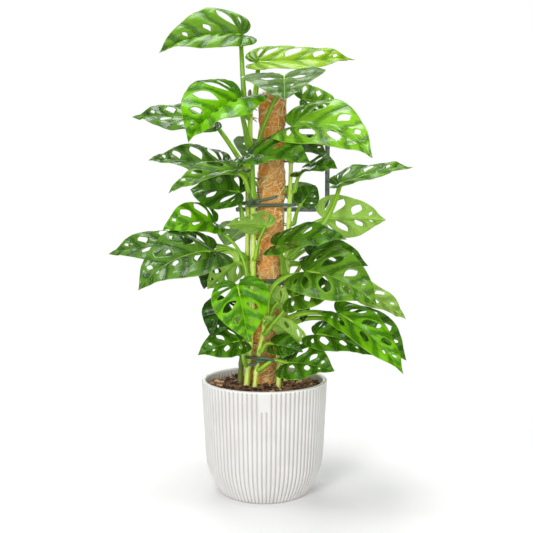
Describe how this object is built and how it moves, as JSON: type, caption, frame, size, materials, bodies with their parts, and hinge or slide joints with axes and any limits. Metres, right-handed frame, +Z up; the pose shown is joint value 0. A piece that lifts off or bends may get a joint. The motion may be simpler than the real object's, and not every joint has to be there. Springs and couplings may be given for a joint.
{
  "type": "monstera adansonii plant in pot",
  "caption": "Climbing swiss cheese vine with pierced heart-shaped leaves, tied to a coir pole in a round ribbed pot.",
  "frame": {"origin": "centre of the pot's flat foot, on the surface that it stands on", "axes": "+Z up along the pot's axis, the plant's front looks along -Y"},
  "size_m": [0.4382, 0.2831, 0.6819],
  "materials": {
    "pot_white": "satin warm white",
    "potting_soil": "rough damp bark mix",
    "coir": "rough coconut fibre",
    "pole_wood": "raw wood",
    "leaf_green": "waxy leaf",
    "stem_green": "smooth striped stem",
    "tie_green": "matt coated wire",
    "support_grey": "satin grey green"
  },
  "bodies": {
    "root": {"pot": "pot_white", "soil": "potting_soil", "coir_sleeve": "coir", "pole_core": "pole_wood", "support_arm": "support_grey", "support_cane": "support_grey", "stem_a": "stem_green", "stem_b": "stem_green", "stem_c": "stem_green", "stem_d": "stem_green", "stem_e": "stem_green", "stem_f": "stem_green", "tie_1": "tie_green", "tie_2": "tie_green", "tie_3": "tie_green", "leaf_01": "leaf_green", "leaf_02": "leaf_green", "leaf_03": "leaf_green", "leaf_04": "leaf_green", "leaf_05": "leaf_green", "leaf_06": "leaf_green", "leaf_07": "leaf_green", "leaf_08": "leaf_green", "leaf_09": "leaf_green", "leaf_10": "leaf_green", "leaf_11": "leaf_green", "leaf_12": "leaf_green", "leaf_13": "leaf_green", "leaf_14": "leaf_green", "leaf_15": "leaf_green", "leaf_16": "leaf_green", "leaf_17": "leaf_green", "leaf_18": "leaf_green", "leaf_19": "leaf_green", "leaf_20": "leaf_green", "leaf_21": "leaf_green", "leaf_22": "leaf_green", "leaf_23": "leaf_green", "leaf_24": "leaf_green", "leaf_25": "leaf_green", "leaf_26": "leaf_green", "leaf_27": "leaf_green", "leaf_28": "leaf_green", "leaf_29": "leaf_green", "leaf_30": "leaf_green", "leaf_31": "leaf_green", "leaf_32": "leaf_green", "leaf_33": "leaf_green", "leaf_34": "leaf_green", "leaf_35": "leaf_green", "leaf_36": "leaf_green", "leaf_37": "leaf_green", "leaf_38": "leaf_green", "leaf_39": "leaf_green", "leaf_40": "leaf_green", "leaf_41": "leaf_green", "leaf_42": "leaf_green", "leaf_43": "leaf_green", "leaf_44": "leaf_green", "leaf_45": "leaf_green"}
  },
  "joints": []
}
